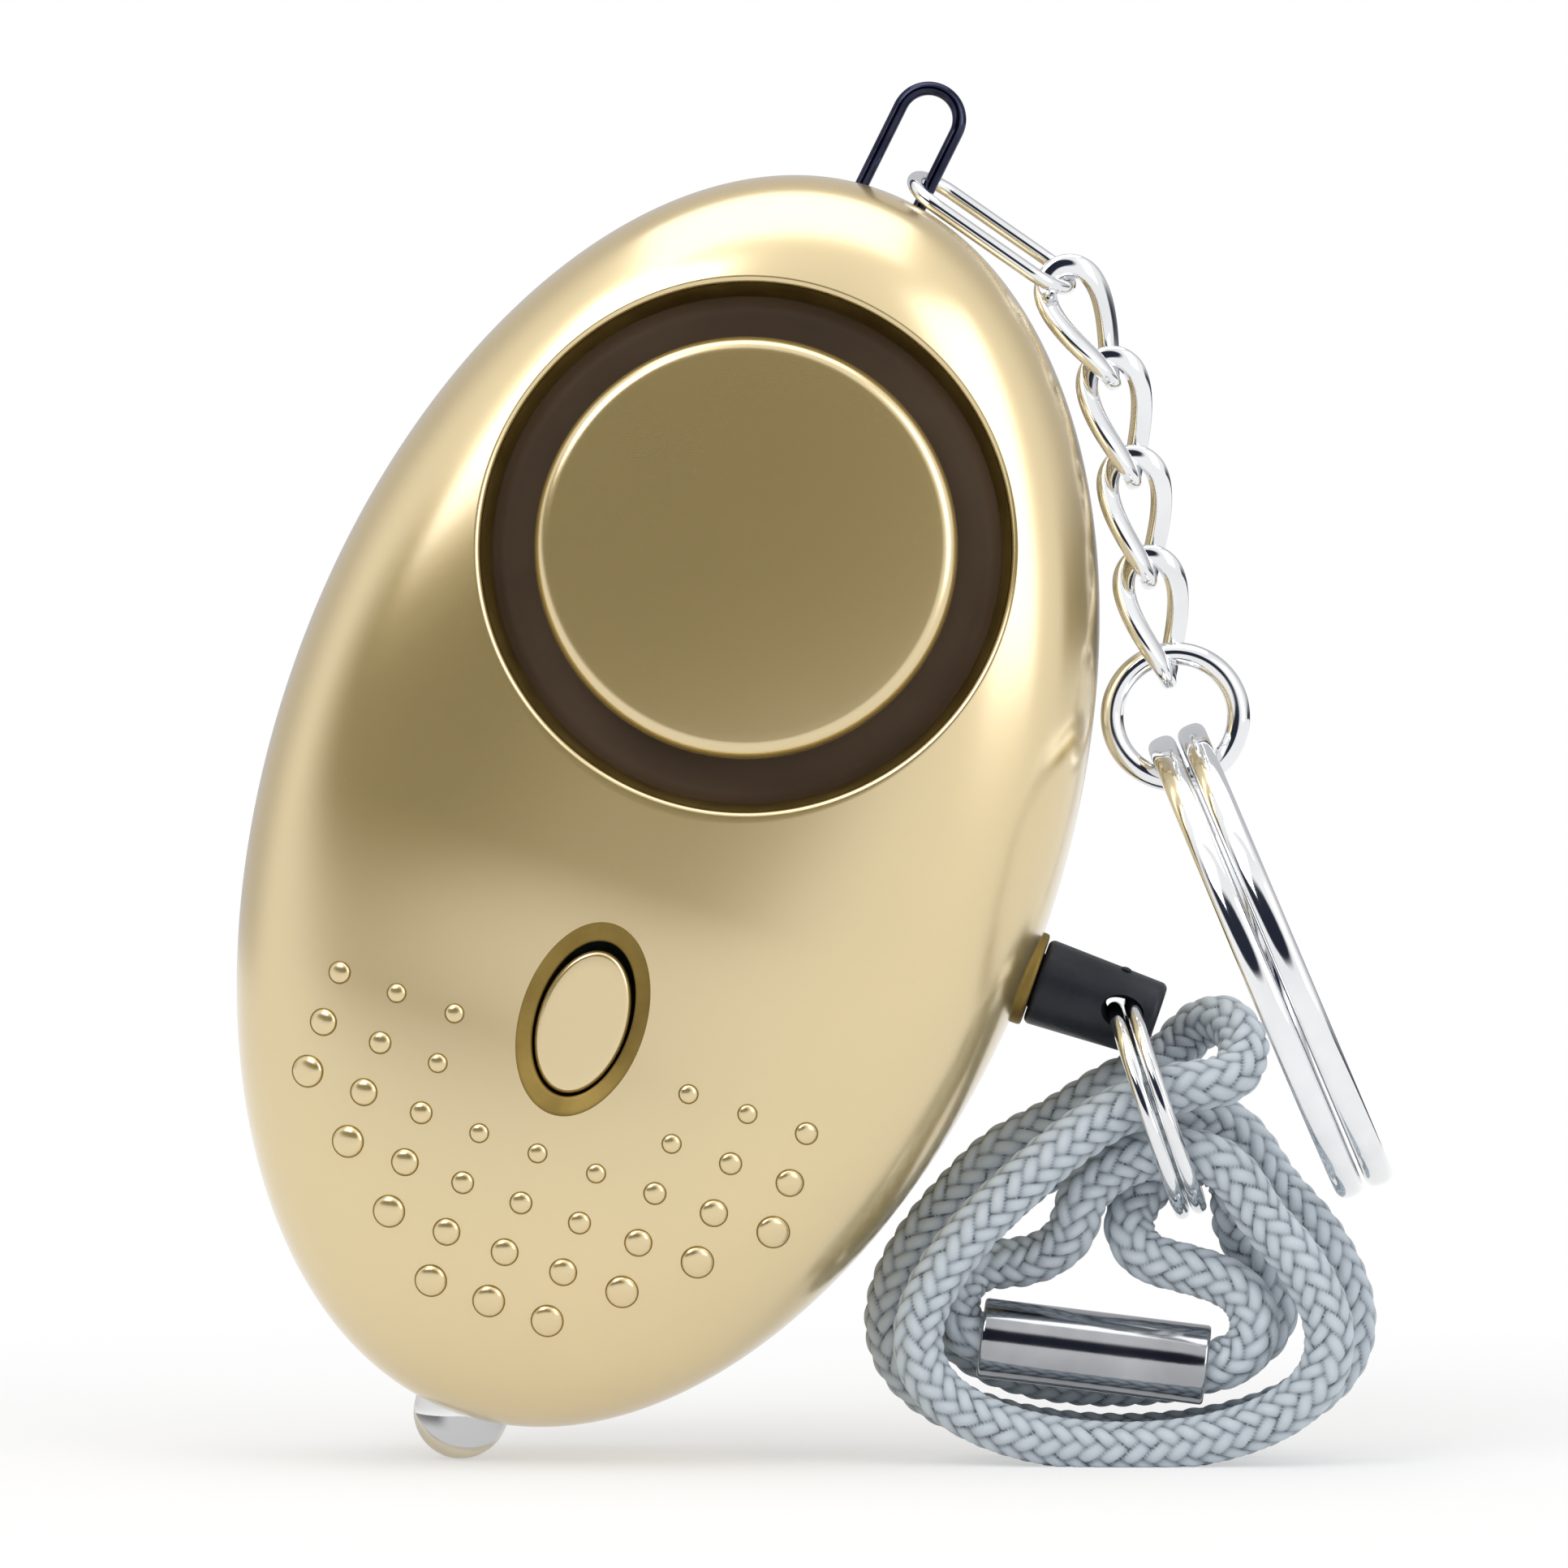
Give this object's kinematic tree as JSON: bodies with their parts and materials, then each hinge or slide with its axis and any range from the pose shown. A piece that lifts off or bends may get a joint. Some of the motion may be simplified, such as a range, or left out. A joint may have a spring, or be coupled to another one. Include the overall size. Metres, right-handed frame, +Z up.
{
  "type": "personal safety alarm",
  "caption": "Oval hand-held safety alarm leaning on its lamp, with a siren disc, a pressed lamp button, a pull pin on a wrist cord, and a short chain with a split key ring.",
  "frame": {"origin": "middle of the footprint on the floor, without the wrist cord and its ferrule", "axes": "+Z up as pictured, +X to the right of the siren face, -Y out of the siren face; the casing leans 18.9 degrees towards +X"},
  "size_m": [0.0581, 0.025, 0.0693],
  "materials": {
    "gold_paint": "satin metallic gold paint over moulded plastic, slightly pebbled",
    "brown_plastic": "dark brown moulded plastic, satin",
    "chrome_steel": "bright nickel plate",
    "plain_steel": "plain bright steel",
    "black_plastic": "blue-black moulded plastic, satin",
    "cord_fabric": "round braided polyester, pale blue-grey",
    "clear_lens": "clear cast resin, glossy",
    "board_green": "green solder mask",
    "brass_strip": "bright brass",
    "ivory_ceramic": "fired ceramic with a silvered face",
    "coil_brown": "varnished copper winding on a drum core"
  },
  "bodies": {
    "housing": {"front_shell": "gold_paint", "rear_shell": "gold_paint", "case_screws": "plain_steel", "siren_cup": "brown_plastic", "siren_cap": "gold_paint", "sounder_disc": "brass_strip", "sounder_ceramic": "ivory_ceramic", "switch_body": "black_plastic", "circuit_board": "board_green", "boost_coil": "coil_brown", "driver_chip": "black_plastic", "led_lamp": "clear_lens", "led_leads": "plain_steel", "button_cells": "plain_steel", "cell_plate": "brass_strip", "cell_spring": "brass_strip", "fixed_contact": "brass_strip", "contact_post": "brass_strip", "wrist_cord": "cord_fabric", "cord_ferrule": "chrome_steel", "wire_loop": "chrome_steel"},
    "button": {"led_button": "gold_paint", "switch_plunger": "plain_steel"},
    "pin": {"pull_pin": "black_plastic", "pin_ring": "chrome_steel"},
    "leaf": {"moving_contact": "brass_strip"},
    "end_link": {"end_link": "chrome_steel"},
    "link_1": {"chain_link_1": "chrome_steel"},
    "link_2": {"chain_link_2": "chrome_steel"},
    "link_3": {"chain_link_3": "chrome_steel"},
    "link_4": {"chain_link_4": "chrome_steel"},
    "jump": {"jump_ring": "chrome_steel"},
    "key": {"key_ring": "chrome_steel"}
  },
  "joints": [
    {"name": "button_press", "type": "slide", "parent": "housing", "child": "button", "axis": [0, 1, 0], "range_m": [0, 0.0004], "stiffness_N_per_m": 800},
    {"name": "pin_pull", "type": "slide", "parent": "housing", "child": "pin", "axis": [0.9461, 0, -0.3239], "range_m": [0, 0.006], "deforming": ["wrist_cord"]},
    {"name": "leaf_close", "type": "hinge", "parent": "housing", "child": "leaf", "pos_m": [-0.00121, 0.00082, 0.02835], "axis": [-0.3239, 0, -0.9461], "range_deg": [0, 12.6]},
    {"name": "end_link_swing", "type": "hinge", "parent": "housing", "child": "end_link", "pos_m": [0.0049, 0, 0.06441], "axis": [0, -1, 0], "range_deg": [0, 45]},
    {"name": "link_1_swing", "type": "hinge", "parent": "end_link", "child": "link_1", "pos_m": [0.01256, 0, 0.05905], "axis": [0, -1, 0], "range_deg": [0, 15]},
    {"name": "link_2_swing", "type": "hinge", "parent": "link_1", "child": "link_2", "pos_m": [0.01476, 0, 0.05433], "axis": [0, -1, 0], "range_deg": [0, 15]},
    {"name": "link_3_swing", "type": "hinge", "parent": "link_2", "child": "link_3", "pos_m": [0.01581, 0, 0.04936], "axis": [0, -1, 0], "range_deg": [0, 15]},
    {"name": "link_4_swing", "type": "hinge", "parent": "link_3", "child": "link_4", "pos_m": [0.01661, 0, 0.04434], "axis": [0, -1, 0], "range_deg": [0, 15]},
    {"name": "jump_ring_swing", "type": "hinge", "parent": "link_4", "child": "jump", "pos_m": [0.01758, 0, 0.03936], "axis": [0, -1, 0], "range_deg": [0, 20]},
    {"name": "key_ring_swing", "type": "hinge", "parent": "jump", "child": "key", "pos_m": [0.01796, 0, 0.03741], "axis": [0, -1, 0], "range_deg": [0, 40]}
  ],
  "couplings": [
    {"joint": "leaf_close", "follows": "pin_pull", "rad_per_m": 36.652}
  ]
}
